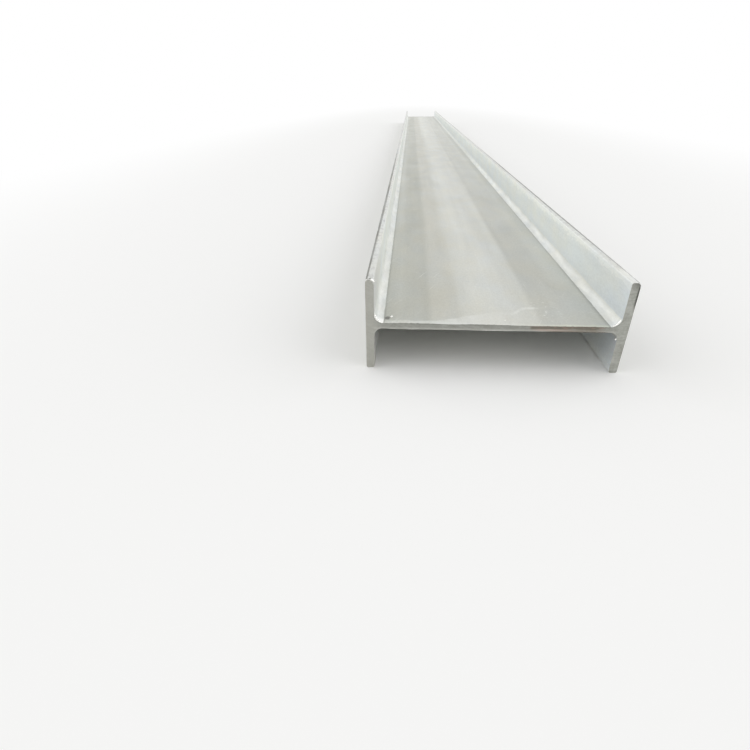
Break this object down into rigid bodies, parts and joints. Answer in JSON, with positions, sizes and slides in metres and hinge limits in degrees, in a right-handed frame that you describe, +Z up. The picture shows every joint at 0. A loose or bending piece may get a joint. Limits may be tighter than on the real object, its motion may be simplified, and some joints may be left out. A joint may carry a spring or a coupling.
{
  "type": "hot-rolled steel h-beam",
  "caption": "Long hot-rolled steel H-section bar with two upright flanges, a level web and rounded root fillets, for columns, beams and frames.",
  "frame": {"origin": "on the floor under the middle of the bar, where the lower flange toes rest", "axes": "+X across the section from flange to flange, +Y along the bar, +Z up, across the flange width"},
  "size_m": [0.4, 7, 0.15],
  "materials": {
    "rolled_steel": "bare mill surface, light satin grey with faint streaks along the bar, sawn ends"
  },
  "bodies": {
    "root": {"h_beam": "rolled_steel"}
  },
  "joints": []
}
